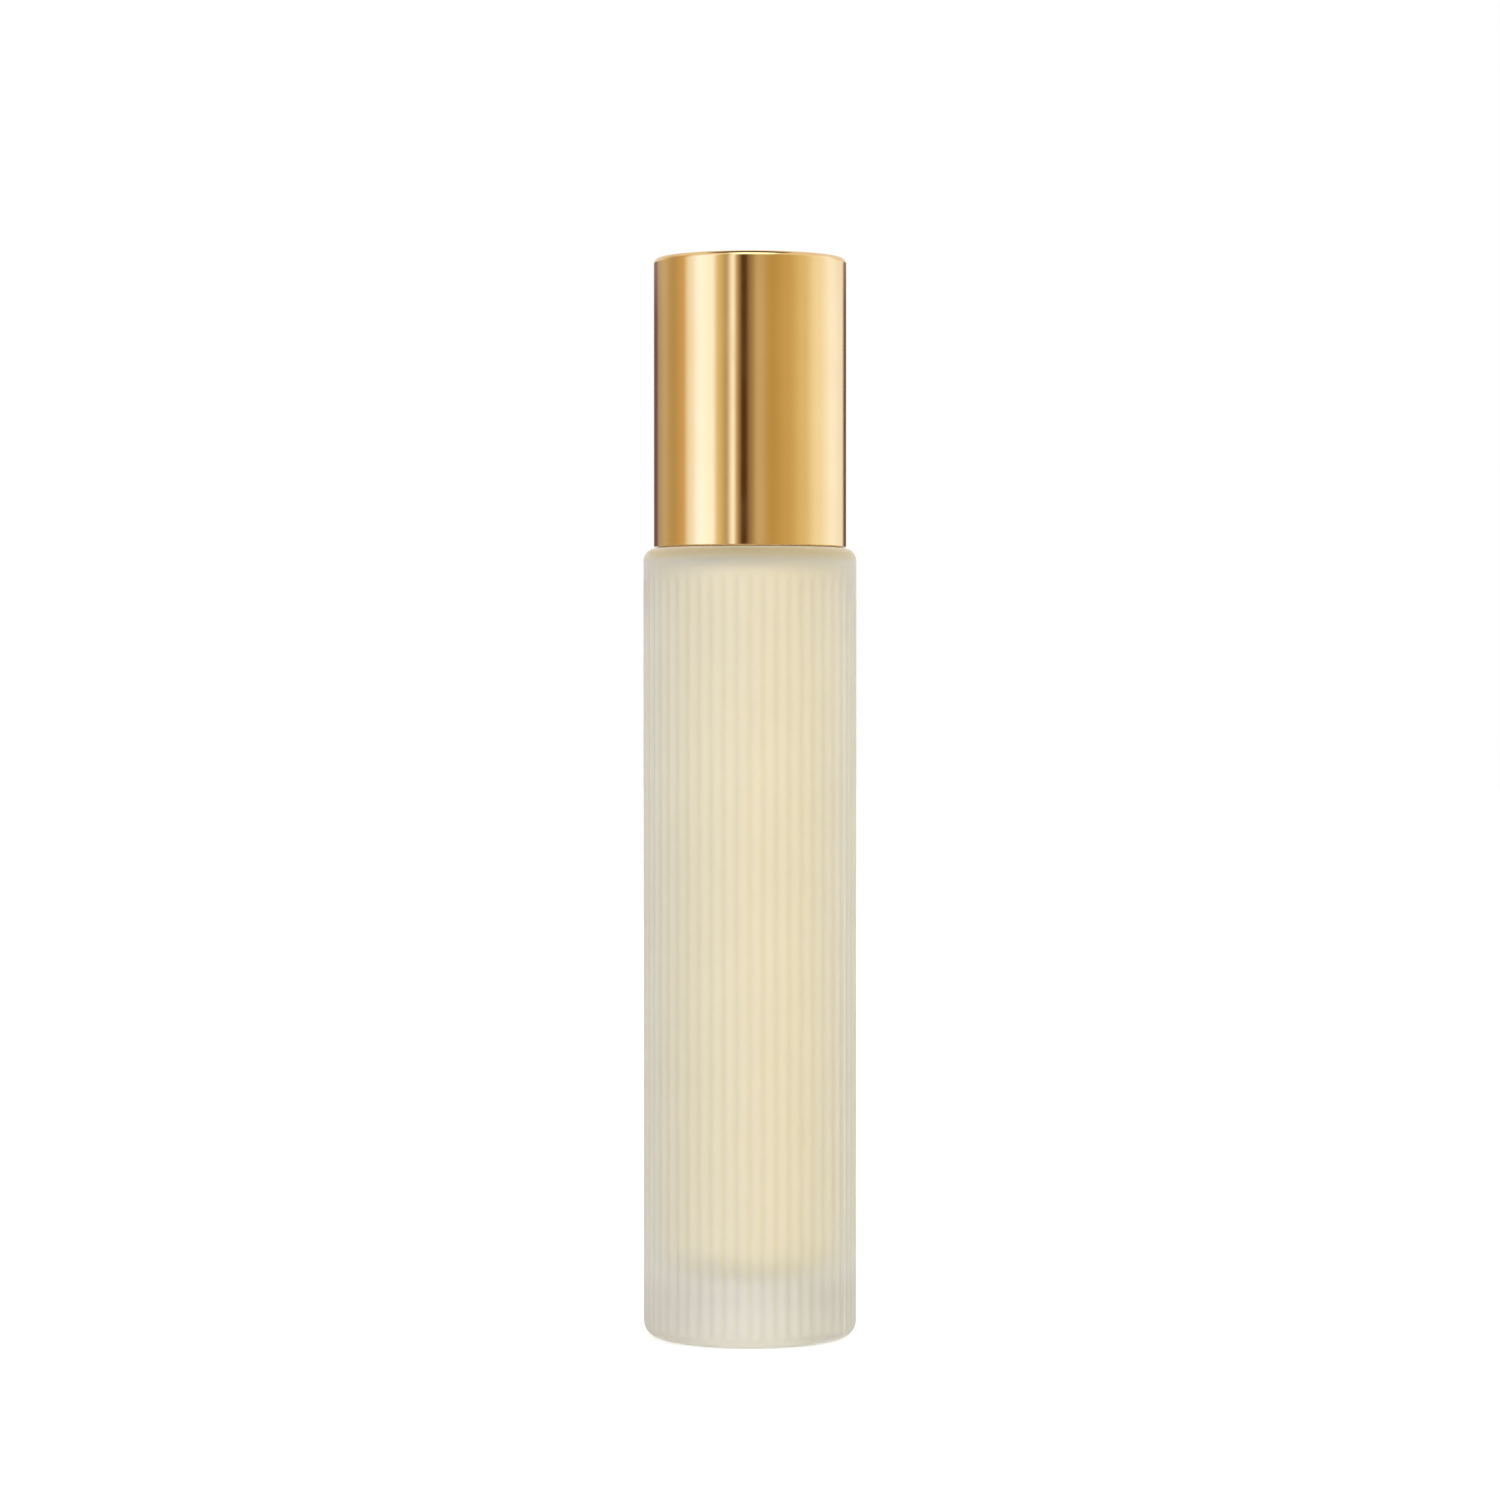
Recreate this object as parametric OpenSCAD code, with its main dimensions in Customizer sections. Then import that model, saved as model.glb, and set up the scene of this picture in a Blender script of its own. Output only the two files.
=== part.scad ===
// Pump bottle for liquid foundation: a ribbed, frosted, heavy-walled glass cylinder
// with a screw-on treatment pump under a tall gold over-cap.
// Frame: millimetres, +Z up, origin at the centre of the base. The nozzle faces -Y.

/* [Bottle] */
// Diameter of the glass body over the ribs
body_d = 30; // [29:0.5:32]
// Height of the glass body, from the base to the top of the shoulder
body_h = 111; // [100:0.2:120]
// Diameter of the cavity that holds the foundation
bore_d = 20; // [18:0.5:21]
// Thickness of the glass under the cavity
base_t = 9; // [6:0.5:10]
// Number of ribs round the body
rib_count = 50; // [42:1:56]
// Radius of each rib's rounded crest
rib_r = 1.35; // [1.3:0.05:1.8]

/* [Neck] */
// Outside diameter of the neck's screw thread
thread_d = 19.6; // [19.4:0.1:19.8]
// Pitch of the screw thread
thread_pitch = 3.18; // [3.1:0.02:3.3]
// Height of the neck above the shoulder
neck_h = 10.2; // [10:0.1:11]

/* [Over-cap] */
// Outside diameter of the over-cap
cap_d = 27.1; // [27:0.1:28]
// Height of the over-cap
cap_h = 40.6; // [40:0.2:44]

/* [Pump] */
// Travel of the pump head
stroke = 4.5; // [3:0.5:4.5]
// Outside diameter of the gold collar
collar_d = 23; // [22.8:0.1:23]
// Outside diameter of the gold pump head
head_d = 17; // [16.8:0.1:17.4]

/* [Hidden] */
$fn = 96;

eps = 0.01;      // overshoot of a cut past the face it opens
fit = 0.05;      // gap between pieces that are pressed or clipped together
press = 0.03;    // gap round a piece that is pushed on tight
slide = 0.04;    // gap round a piece that slides in a bore

// Glass
body_r = body_d / 2;
bore_r = bore_d / 2;
rib_root_r = (body_r - rib_r) * cos(180 / rib_count)
    + sqrt(pow(rib_r, 2) - pow((body_r - rib_r) * sin(180 / rib_count), 2));
shoulder_round = 1.8;
heel_round = 2.2;
shoulder_t = 2.2;
rib_top = body_h - 3;             // height at which the ribs have run out
rib_fade = 4;                     // height that they take to run out
neck_r = 8.6;
neck_bore_r = 6.3;
thread_r = thread_d / 2;
rim_z = body_h + neck_h;
cavity_top = body_h - shoulder_t;
cavity_round_low = 4.5;
cavity_round_high = 3;
pushup_h = 0.6;                   // hollow under the base, inside the ring it stands on
pushup_r = 9;

// Screw threads: the collar's thread lies midway between the turns of the neck's
thread_turns = 1.25;
thread_low = body_h + 3;          // middle of the neck thread's first turn
thread_step = 10;                 // degrees between sections
thread_root_w = 2.3;
thread_crest_w = 0.9;
thread_gap = 0.3;                 // from a thread's crest to the wall it faces
collar_start = 90;                // angle at which the collar's thread starts

// Pump housing and what sits in it
gasket_t = 1;
flange_z = rim_z + gasket_t;
flange_t = 1.4;
flange_r = 8.4;
collar_web_z = flange_z + flange_t + fit;
tube_r = 5.3;
chamber_r = 4.3;
floor_z = rim_z - 20.2;           // top of the housing's floor, where the ball cage sits
floor_t = 3;
floor_low = floor_z - floor_t;
vent_z = rim_z - 2;
vent_r = 0.4;
channel_r = 0.9;                  // passage from the dip tube to the inlet ball's seat
well_r = 2.1;                     // well in the floor that the inlet ball moves in
socket_r = 3;
socket_h = 10;
socket_bore_r = 2;
dip_r = socket_bore_r - press;
dip_bore_r = 1.4;
dip_low = base_t + 3;
dip_high = floor_low - 3;
dip_cut = 35;                     // slant of the dip tube's foot, in degrees
ball_seat_angle = 45;

// Collar, chimney and head, stacked upwards
web_t = 1.4;
collar_low = body_h + 0.7;
collar_wall_r = thread_r + thread_gap;
shell_t = 0.5;                    // wall of the gold skins on the collar and the head
collar_r = collar_d / 2;
collar_top = collar_web_z + web_t + fit + shell_t;
guide_bore_r = chamber_r + 1;     // bore of the chimney, where the stem's guide sits
chimney_r = 6.2;
bead_z = collar_web_z + web_t + fit;
bead_r = chimney_r + 0.3;         // snap bead that keeps the collar on the housing
bead_h = 0.55;
head_low = collar_top + 0.3 + stroke;
chimney_top = head_low + 0.8;
guide_flange_t = 0.8;
head_floor = chimney_top + stroke + 0.3;   // underside of the head's solid top
head_top = head_floor + 8.6;
head_r = head_d / 2;
stem_top = head_floor + 3.6;
nozzle_z = head_floor + 5.1;
nozzle_r = 2;
nozzle_bore_r = 0.8;
nozzle_mouth_r = 1.3;
nozzle_seat = 4.2;                // distance of the nozzle's inner end from the axis
nozzle_tip = 10.8;
skirt_t = 1.15;
dish_depth = 0.9;
dish_r = (pow(head_r - 1.4, 2) + pow(dish_depth, 2)) / (2 * dish_depth);

// Plunger
stem_r = 2.2;
stem_bore_r = 0.8;
foot_z = rim_z - 5.8;             // underside of the stem's foot, which the spring pushes
foot_t = 0.8;
foot_r = 3.7;
piston_h = 4.4;
stem_ring_z = foot_z + foot_t + piston_h;
stem_ring_t = 0.8;
wiper_z = stem_ring_z + stem_ring_t + 0.1;
wiper_t = 0.8;
ball_in_r = 1.6;
ball_out_r = 1.2;
ball_lift = 0.8;
outlet_r = ball_out_r + 0.25;     // chamber that the outlet ball moves in
seat_in_z = floor_z - 4.7;        // apex of the inlet seat's cone
seat_out_z = stem_top - ball_lift - ball_out_r * (1 + 1 / sin(ball_seat_angle)) - 0.1;
ball_gap = 0.02;

// Spring
wire_r = 0.3;
spring_r = 3.1;
cage_t = 1.4;
spring_low = floor_z + cage_t;
spring_turns = 8;
spring_steps = 18;                // sections in each turn

// Over-cap
cap_r = cap_d / 2;
cap_low = body_h + 0.1;
cap_top = cap_low + cap_h;
cap_wall = 0.55;
cap_edge = 0.7;
liner_low = cap_low + 0.5;
liner_wall = 0.9;
liner_top = cap_top - 1.1;
liner_roof = 0.8;
grip_ribs = 8;                    // upright ribs in the liner that grip the collar
grip_w = 0.8;
grip_h = 11;

function at(radius, angle, z) = [radius * cos(angle), radius * sin(angle), z];

// A solid swept through rings of points, each ring of the same length; both ends are closed.
module sweep(rings) {
    per = len(rings[0]);
    last = (len(rings) - 1) * per;
    sides = [for (i = [0 : len(rings) - 2], j = [0 : per - 1], half = [0, 1])
        let (a = i * per + j, b = i * per + (j + 1) % per)
        half == 0 ? [a, b, b + per] : [a, b + per, a + per]];
    ends = [
        [for (j = [per - 1 : -1 : 0]) j],
        [for (j = [0 : per - 1]) last + j]
    ];
    polyhedron(points = [for (ring = rings) each ring], faces = concat(sides, ends), convexity = 10);
}

// A trapezoidal screw thread from radius root to radius crest, fading into the root at both ends.
module screw_thread(root, crest, low, turns, start) {
    count = round(360 * turns / thread_step);
    fade = 4;            // sections over which each end runs out
    least = 0.12;        // share of the thread's height that is left at its ends
    rings = [for (i = [0 : count])
        let (
            angle = start + i * thread_step,
            z = low + thread_pitch * i * thread_step / 360,
            share = min(1, i / fade, (count - i) / fade),
            top = root + (crest - root) * (least + (1 - least) * share)
        )
        [at(root, angle, z - thread_root_w / 2), at(top, angle, z - thread_crest_w / 2),
         at(top, angle, z + thread_crest_w / 2), at(root, angle, z + thread_root_w / 2)]];
    sweep(crest > root ? rings : [for (ring = rings) [for (j = [3 : -1 : 0]) ring[j]]]);
}

// Half profile of a round bar of radius r from z = low to high, with rounded bottom and top edges.
module rounded_profile(r, low, high, round_low, round_high) {
    translate([0, low + round_low]) square([r, high - low - round_low - round_high]);
    translate([0, low]) square([r - round_low, round_low + eps]);
    translate([0, high - round_high - eps]) square([r - round_high, round_high + eps]);
    translate([r - round_low, low + round_low]) circle(round_low);
    translate([r - round_high, high - round_high]) circle(round_high);
}

module ring(outer, inner, low, high) {
    translate([0, 0, low]) difference() {
        cylinder(r = outer, h = high - low);
        translate([0, 0, -eps]) cylinder(r = inner, h = high - low + 2 * eps);
    }
}

module bar(r, low, high) {
    translate([0, 0, low]) cylinder(r = r, h = high - low);
}

module cavity(shrink = 0) {
    rotate_extrude() rounded_profile(bore_r - shrink, base_t + shrink, cavity_top - shrink,
        cavity_round_low, cavity_round_high);
}

// Outline of the ribbed body: one circle for each rib round a core as deep as the grooves.
module ribbed_outline() {
    circle(rib_root_r - 0.1);
    for (i = [0 : rib_count - 1])
        rotate(i * 360 / rib_count) translate([body_r - rib_r, 0]) circle(rib_r);
}

// Round body with its heel and shoulder, before the ribs.
module body_envelope() {
    rotate_extrude() rounded_profile(body_r + eps, 0, body_h, heel_round, shoulder_round);
}

module glass_bottle() {
    band_r = body_r - 0.03;
    color("#e4e2d6", 0.5) difference() {
        union() {
            intersection() {
                linear_extrude(body_h) ribbed_outline();
                body_envelope();
            }
            // Plain band below the shoulder, with a cone that the ribs run out on
            intersection() {
                rotate_extrude() polygon([
                    [bore_r, rib_top - rib_fade], [rib_root_r - 0.05, rib_top - rib_fade],
                    [band_r, rib_top], [band_r, body_h], [bore_r, body_h]
                ]);
                body_envelope();
            }
            bar(neck_r, body_h - 1, rim_z);
            screw_thread(neck_r - 0.4, thread_r, thread_low, thread_turns, 0);
        }
        cavity();
        bar(neck_bore_r, cavity_top - 1, rim_z + eps);
        translate([0, 0, pushup_h]) dome(pushup_r, pushup_h);
    }
}

// A ball cut that leaves a hollow of that height and radius below z = 0.
module dome(radius, height) {
    ball = (pow(radius, 2) + pow(height, 2)) / (2 * height);
    translate([0, 0, -ball]) sphere(ball);
}

// The foundation, with the pump's housing and dip tube standing in it.
module foundation_fluid() {
    color("#ead9b0") difference() {
        cavity(0.02);
        bar(dip_r + fit, dip_low, cavity_top);
        bar(socket_r + fit, floor_low - socket_h - fit, cavity_top);
        bar(tube_r + fit, floor_low - fit, cavity_top + 1);
    }
}

module neck_gasket() {
    color("white") ring(flange_r, tube_r + 0.1, rim_z, flange_z);
}

// Chamber, flange and chimney in one moulding, with the inlet seat and the dip tube's socket.
module pump_housing() {
    seat_low = seat_in_z + channel_r;
    seat_high = seat_in_z + well_r;
    color("#f2f2ee") difference() {
        union() {
            bar(socket_r, floor_low - socket_h, floor_low + eps);
            bar(tube_r, floor_low, flange_z + eps);
            bar(flange_r, flange_z, flange_z + flange_t);
            bar(chimney_r, flange_z, chimney_top - guide_flange_t);
            // Bead that snaps through the collar, so that the pump lifts out with it
            bar(bead_r, bead_z, bead_z + bead_h);
        }
        bar(chamber_r, floor_z, chimney_top);
        bar(guide_bore_r, collar_web_z + web_t, chimney_top);
        bar(channel_r, floor_low - socket_h, floor_z);
        translate([0, 0, seat_low]) cylinder(r1 = channel_r, r2 = well_r, h = seat_high - seat_low);
        bar(well_r, seat_high - eps, floor_z + eps);
        bar(socket_bore_r, floor_low - socket_h - eps, dip_high);
        // Vent that lets air in behind the piston
        translate([0, 0, vent_z]) rotate([0, 90, 0]) cylinder(r = vent_r, h = tube_r + 1);
    }
}

module dip_tube() {
    size = 10;
    color("#f4f4f0", 0.7) difference() {
        ring(dip_r, dip_bore_r, dip_low, dip_high);
        // Slanted foot that can't seal on the glass
        translate([0, 0, dip_low]) rotate([0, dip_cut, 0])
            translate([-size / 2, -size / 2, -size]) cube(size);
    }
}

module inlet_ball() {
    color("silver") translate([0, 0, seat_in_z + ball_in_r / sin(ball_seat_angle) + ball_gap])
        sphere(ball_in_r);
}

// Pressed in over the inlet ball: it stops the ball, and centres the spring.
module ball_cage() {
    hole_r = 0.45;
    holes_at = 1.45;
    color("#f2f2ee") difference() {
        union() {
            bar(chamber_r - fit, floor_z, spring_low);
            ring(spring_r - wire_r - 0.2, 2, spring_low - eps, spring_low + 1);
        }
        for (i = [0 : 3]) rotate(i * 90 + 45) translate([holes_at, 0, 0])
            bar(hole_r, floor_z - eps, spring_low + eps);
    }
}

// Height of the spring's wire after a share t of its turns: one closed turn at each end.
function spring_z(t) =
    let (
        turn = t * spring_turns,
        closed = 2 * wire_r + 0.04,
        low = spring_low + wire_r,
        high = foot_z - wire_r,
        pitch = (high - low - 2 * closed) / (spring_turns - 2)
    )
    turn < 1 ? low + turn * closed
    : turn > spring_turns - 1 ? high - (spring_turns - turn) * closed
    : low + closed + (turn - 1) * pitch;

module return_spring() {
    sections = spring_steps * spring_turns;
    sides = 6;
    wire = wire_r - 0.01;
    color("silver") sweep([for (i = [0 : sections])
        let (angle = 360 * i / spring_steps, middle = spring_z(i / sections))
        [for (j = [0 : sides - 1])
            let (side = 360 * j / sides)
            at(spring_r + wire * cos(side), angle, middle + wire * sin(side))]]);
}

// A sleeve with a sealing lip at each end of its waist.
module piston() {
    inner = stem_r + press;
    lip = chamber_r - slide;
    waist = lip - 0.5;
    edge = lip - 0.3;
    lip_h = 0.8;
    slope_h = 0.6;
    low = foot_z + foot_t;
    high = low + piston_h;
    color("#dfe6ea") rotate_extrude() polygon([
        [inner, low], [edge, low], [lip, low + 0.1], [lip, low + lip_h], [waist, low + lip_h + slope_h],
        [waist, high - lip_h - slope_h], [lip, high - lip_h], [lip, high - 0.1], [edge, high], [inner, high]
    ]);
}

// Hollow rod that carries the piston below and the outlet ball's seat above.
module stem() {
    seat_low = seat_out_z + stem_bore_r;
    seat_high = seat_out_z + outlet_r;
    color("#f2f2ee") difference() {
        union() {
            bar(foot_r, foot_z, foot_z + foot_t);
            bar(stem_r, foot_z, stem_top);
            bar(stem_r + 0.5, stem_ring_z, stem_ring_z + stem_ring_t);
        }
        bar(stem_bore_r, foot_z - eps, stem_top);
        translate([0, 0, seat_low]) cylinder(r1 = stem_bore_r, r2 = outlet_r, h = seat_high - seat_low);
        bar(outlet_r, seat_high - eps, stem_top + eps);
    }
}

module stem_wiper() {
    color("#c9d4da") ring(chamber_r - fit, stem_r + slide, wiper_z, wiper_z + wiper_t);
}

// Clipped into the chimney: it guides the stem and holds the plunger down.
module stem_guide() {
    low = wiper_z + wiper_t;
    step = collar_web_z + web_t;
    color("#f2f2ee") difference() {
        union() {
            bar(chamber_r - fit, low, step + eps);
            bar(guide_bore_r - fit, step, chimney_top - guide_flange_t + eps);
            bar(chimney_r, chimney_top - guide_flange_t, chimney_top);
        }
        bar(stem_r + slide, low - eps, chimney_top + eps);
    }
}

module outlet_ball() {
    color("silver") translate([0, 0, seat_out_z + ball_out_r / sin(ball_seat_angle) + ball_gap])
        sphere(ball_out_r);
}

// Threaded inner collar, whose web clamps the housing's flange on the gasket.
module screw_collar() {
    color("#f2f2ee") union() {
        difference() {
            bar(collar_r - shell_t - fit, collar_low, collar_web_z + web_t);
            bar(collar_wall_r, collar_low - eps, collar_web_z);
            bar(chimney_r + 0.2, collar_web_z - eps, collar_web_z + web_t + eps);
        }
        screw_thread(collar_wall_r + 0.3, neck_r + thread_gap,
            thread_low + thread_pitch * (collar_start / 360 - 0.5), 1, collar_start);
    }
}

module collar_shell() {
    low = collar_low - 0.2;
    color("#d9a441") difference() {
        rotate_extrude() rounded_profile(collar_r, low, collar_top, 0.2, 0.8);
        bar(collar_r - shell_t, low - eps, collar_top - shell_t);
        bar(bead_r + 0.3, low, collar_top + eps);
    }
}

// A ball that dishes the head's top. A larger grow makes the dish for the piece under the skin.
module dish(grow = 0) {
    translate([0, 0, head_top - dish_depth + dish_r]) sphere(dish_r + grow);
}

// A bar at the nozzle's height, which runs to the front between two distances from the axis.
module forward_bar(r, from, to) {
    translate([0, -from, nozzle_z]) rotate([90, 0, 0]) cylinder(r = r, h = to - from);
}

// Moulded body of the pump head: skirt, stem socket and flow channel.
module actuator_core() {
    core_r = head_r - shell_t - fit;
    slot_w = 0.8;
    slot_l = 2.6;
    color("#f2f2ee") difference() {
        bar(core_r, head_low, head_top - shell_t - fit);
        bar(core_r - skirt_t, head_low - eps, head_floor);
        bar(stem_r + press, head_floor - eps, stem_top);
        // Slot that the lifted outlet ball can't close, then the channel to the nozzle
        translate([-slot_w / 2, -slot_l / 2, stem_top - eps]) cube([slot_w, slot_l, nozzle_z - stem_top]);
        forward_bar(nozzle_bore_r, -slot_l / 2, nozzle_seat + eps);
        forward_bar(nozzle_r + press, nozzle_seat, head_r);
        dish(shell_t + fit);
    }
}

module actuator_shell() {
    color("#d9a441") difference() {
        rotate_extrude() rounded_profile(head_r, head_low, head_top, 0.15, 0.6);
        difference() {
            bar(head_r - shell_t, head_low - eps, head_top - shell_t);
            dish(shell_t);
        }
        dish();
        forward_bar(nozzle_r + 0.1, nozzle_seat, head_r + 1);
    }
}

// Spout pushed into the head from the front, through the gold skin.
module nozzle() {
    flare_h = 0.5;
    color("#d9a441") translate([0, 0, nozzle_z]) rotate([90, 0, 0]) difference() {
        rotate_extrude() difference() {
            rounded_profile(nozzle_r, nozzle_seat, nozzle_tip, 0.1, 0.6);
            square([nozzle_bore_r, nozzle_tip + 1]);
        }
        translate([0, 0, nozzle_tip - flare_h])
            cylinder(r1 = nozzle_bore_r, r2 = nozzle_mouth_r, h = flare_h + eps);
    }
}

module overcap_liner() {
    outer = cap_r - cap_wall - fit;
    inner = outer - liner_wall;
    color("#f2f2ee") union() {
        difference() {
            bar(outer, liner_low, liner_top);
            bar(inner, liner_low - eps, liner_top - liner_roof);
        }
        for (i = [0 : grip_ribs - 1]) rotate(i * 360 / grip_ribs) difference() {
            translate([collar_r - 1, -grip_w / 2, collar_low + 0.8])
                cube([inner + 0.4 - collar_r + 1, grip_w, grip_h]);
            bar(collar_r + fit, 0, cap_top);
        }
    }
}

module overcap_shell() {
    color("#d9a441") difference() {
        rotate_extrude() rounded_profile(cap_r, cap_low, cap_top, 0.2, cap_edge);
        bar(cap_r - cap_wall, cap_low - eps, cap_top - cap_wall);
    }
}

glass_bottle();
foundation_fluid();
neck_gasket();
pump_housing();
dip_tube();
inlet_ball();
ball_cage();
return_spring();
piston();
stem();
stem_wiper();
stem_guide();
outlet_ball();
screw_collar();
collar_shell();
actuator_core();
actuator_shell();
nozzle();
overcap_liner();
overcap_shell();
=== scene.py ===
"""Looks of a foundation bottle: ribbed frosted glass, ivory contents, a treatment pump and a gold over-cap.

Lengths are in millimetres, and in metres where a name ends in _m or a comment says so. Blender
gets metres. The front of the bottle, where the nozzle points at rest, faces -Y.
"""

import math

import bmesh
import bpy
from mathutils import Matrix, Vector


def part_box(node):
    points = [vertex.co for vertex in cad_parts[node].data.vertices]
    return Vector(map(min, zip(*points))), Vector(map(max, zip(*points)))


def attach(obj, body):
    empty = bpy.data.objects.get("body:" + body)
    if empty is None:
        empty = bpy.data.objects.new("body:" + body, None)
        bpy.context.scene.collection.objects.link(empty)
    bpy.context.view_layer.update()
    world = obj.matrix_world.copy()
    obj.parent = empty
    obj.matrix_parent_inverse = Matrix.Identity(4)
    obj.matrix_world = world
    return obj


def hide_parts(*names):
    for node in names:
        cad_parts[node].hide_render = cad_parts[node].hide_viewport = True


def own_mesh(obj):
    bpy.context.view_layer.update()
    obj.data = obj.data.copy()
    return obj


MM = 0.001
TURN = 2 * math.pi
SHARP = math.radians(35)   # an edge that bends more than this is shaded as an edge

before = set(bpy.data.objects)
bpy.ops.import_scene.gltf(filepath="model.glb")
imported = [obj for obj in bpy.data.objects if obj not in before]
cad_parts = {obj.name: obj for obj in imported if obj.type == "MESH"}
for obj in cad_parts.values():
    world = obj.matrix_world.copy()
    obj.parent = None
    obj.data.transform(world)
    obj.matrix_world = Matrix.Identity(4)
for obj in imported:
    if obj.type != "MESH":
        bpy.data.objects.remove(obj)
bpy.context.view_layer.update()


# ---------------------------------------------------------------- measures from the frame

def low(node):
    """Lowest height of a CAD node, in mm."""
    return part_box(node)[0][2] / MM


def high(node):
    """Highest point of a CAD node, in mm."""
    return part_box(node)[1][2] / MM


def radius(node):
    """Outer radius of a CAD node that is turned about the Z axis, in mm."""
    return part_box(node)[1][0] / MM


FIT = 0.05                 # gap between pieces pressed together, as in the CAD
BODY_R = radius("glass_bottle")
RIM_Z = high("glass_bottle")
SHOULDER_Z = low("overcap_shell") - 0.1
BORE_R = radius("foundation_fluid") + 0.02
FLOOR_Z = low("foundation_fluid") - 0.02
FILL_Z = high("foundation_fluid") + 0.02
RIBS = 50
RIB_DEPTH = 0.26           # from a rib's crest to the bottom of the groove beside it
RIB_LOW = 0.5              # the ribs run out at this height above the base,
RIB_HIGH = SHOULDER_Z - 2.6    # and at this one under the shoulder
NECK_R = 8.6
THREAD_R = 9.8
NECK_BORE_R = 6.3
THREAD_PITCH = 3.18
THREAD_LOW = SHOULDER_Z + 3
THREAD_TURNS = 1.25
THREAD_HALF = 1.05         # from the middle of the thread to the foot of a flank, along Z
THREAD_FLANK = 0.6         # from the foot of a flank to the crest, along Z
TUBE_R = 5.3               # outside of the pump's chamber
SOCKET_R = 3               # outside of the pump's socket for the dip tube
SOCKET_LENGTH = 10


# ---------------------------------------------------------------- mesh making

def rounded(corners, closed=False, steps=6):
    """Points and outward normals of an outline of (r, z, fillet) corners, each rounded by an arc.

    The outline runs so that the solid is on its left. An open outline starts and ends on the axis.
    """
    points = []
    count = len(corners)
    for i, (r, z, fillet) in enumerate(corners):
        here = Vector((r, z))
        ends = not closed and i in (0, count - 1)
        if ends:
            other = corners[1] if i == 0 else corners[-2]
            along = (Vector(other[:2]) - here).normalized() * (1 if i == 0 else -1)
            points.append((here, Vector((along.y, -along.x))))
            continue
        back = Vector(corners[i - 1][:2]) - here
        ahead = Vector(corners[(i + 1) % count][:2]) - here
        half = back.angle(ahead) / 2
        reach = min(fillet / math.tan(half), 0.48 * back.length, 0.48 * ahead.length)
        size = reach * math.tan(half)
        centre = here + (back.normalized() + ahead.normalized()).normalized() * size / math.sin(half)
        start = here + back.normalized() * reach
        finish = here + ahead.normalized() * reach
        bulges = back.x * ahead.y - back.y * ahead.x < 0
        a0 = math.atan2(*(start - centre).yx)
        a1 = math.atan2(*(finish - centre).yx)
        sweep = (a1 - a0 + math.pi) % TURN - math.pi
        for k in range(steps + 1):
            angle = a0 + sweep * k / steps
            out = Vector((math.cos(angle), math.sin(angle)))
            points.append((centre + out * size, out if bulges else -out))
    return points


def piece(name, bm, body, replaced, material):
    """Turns a bmesh into a piece that rides on a body and stands for a CAD node."""
    mesh = bpy.data.meshes.new(name)
    bm.to_mesh(mesh)
    bm.free()
    obj = bpy.data.objects.new(name, mesh)
    bpy.context.scene.collection.objects.link(obj)
    mesh.materials.append(material)
    for polygon in mesh.polygons:
        polygon.use_smooth = True
    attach(obj, body)
    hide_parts(replaced)
    return obj


def lathe(outline, around=96, closed=False, shape=None):
    """A closed bmesh: (point, normal) pairs turned about Z. shape(angle, r, z) may change a radius."""
    bm = bmesh.new()
    rings = []
    for point, _ in outline:
        r, z = point
        if r < 1e-6:
            rings.append([bm.verts.new((0, 0, z * MM))])
            continue
        ring = []
        for k in range(around):
            angle = TURN * k / around
            reach = (shape(angle, r, z) if shape else r) * MM
            ring.append(bm.verts.new((reach * math.cos(angle), reach * math.sin(angle), z * MM)))
        rings.append(ring)
    pairs = list(zip(rings, rings[1:]))
    if closed:
        pairs.append((rings[-1], rings[0]))
    for a, b in pairs:
        for k in range(around):
            j = (k + 1) % around
            if len(a) == 1:
                bm.faces.new((a[0], b[j], b[k]))
            elif len(b) == 1:
                bm.faces.new((a[k], a[j], b[0]))
            else:
                bm.faces.new((a[k], a[j], b[j], b[k]))
    bmesh.ops.recalc_face_normals(bm, faces=bm.faces)
    return bm


def turned(name, corners, body, replaced, material, around=96, closed=False):
    """A turned piece with rounded edges, shaded by the exact normals of its outline."""
    outline = rounded(corners, closed)
    obj = piece(name, lathe(outline, around, closed), body, replaced, material)
    normals = []
    for point, out in outline:
        if point.x < 1e-6:
            normals.append((0, 0, 1 if out.y > 0 else -1))
            continue
        for k in range(around):
            angle = TURN * k / around
            normals.append((out.x * math.cos(angle), out.x * math.sin(angle), out.y))
    obj.data.normals_split_custom_set_from_vertices(normals)
    return obj


def carve(obj, *cutters):
    """Cuts each cutter out of a piece, and removes the cutters."""
    for cutter in cutters:
        cut = obj.modifiers.new("cut", "BOOLEAN")
        cut.operation = "DIFFERENCE"
        cut.solver = "EXACT"
        cut.object = cutter
    graph = bpy.context.evaluated_depsgraph_get()
    carved = bpy.data.meshes.new_from_object(obj.evaluated_get(graph))
    obj.modifiers.clear()
    old = obj.data
    obj.data = carved
    bpy.data.meshes.remove(old)
    for cutter in cutters:
        mesh = cutter.data
        bpy.data.objects.remove(cutter)
        bpy.data.meshes.remove(mesh)
    carved.set_sharp_from_angle(angle=SHARP)


def cutter(bm):
    """An object to cut with, which carve() removes."""
    mesh = bpy.data.meshes.new("cutter")
    bm.to_mesh(mesh)
    bm.free()
    obj = bpy.data.objects.new("cutter", mesh)
    bpy.context.scene.collection.objects.link(obj)
    return obj


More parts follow.
